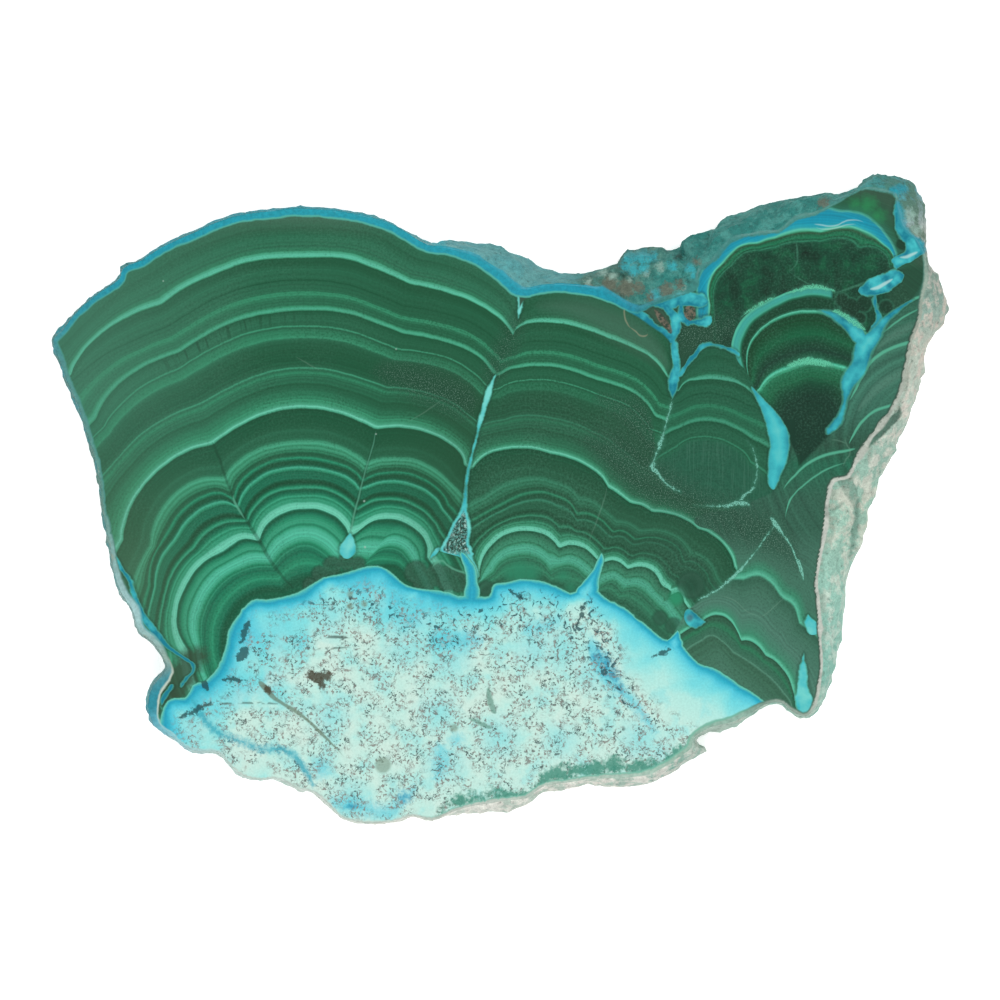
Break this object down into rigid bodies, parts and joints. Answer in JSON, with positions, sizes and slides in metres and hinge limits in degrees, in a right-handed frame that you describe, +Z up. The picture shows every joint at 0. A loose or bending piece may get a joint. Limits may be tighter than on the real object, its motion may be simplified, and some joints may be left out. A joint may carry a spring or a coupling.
{
  "type": "malachite slice",
  "caption": "Flat polished slice of banded green malachite with a turquoise chrysocolla core and veins and a rough natural rind, lying on its sawn back.",
  "frame": {"origin": "under the middle of the slice, on the plane of its sawn back", "axes": "+X along the slice's length towards its horn, +Y across it towards the crest, +Z up out of the polished face"},
  "size_m": [0.1406, 0.102, 0.009],
  "materials": {
    "banded_malachite": "polished banded face, sawn back, rough chalky rind"
  },
  "bodies": {
    "root": {"malachite_slice": "banded_malachite"}
  },
  "joints": []
}
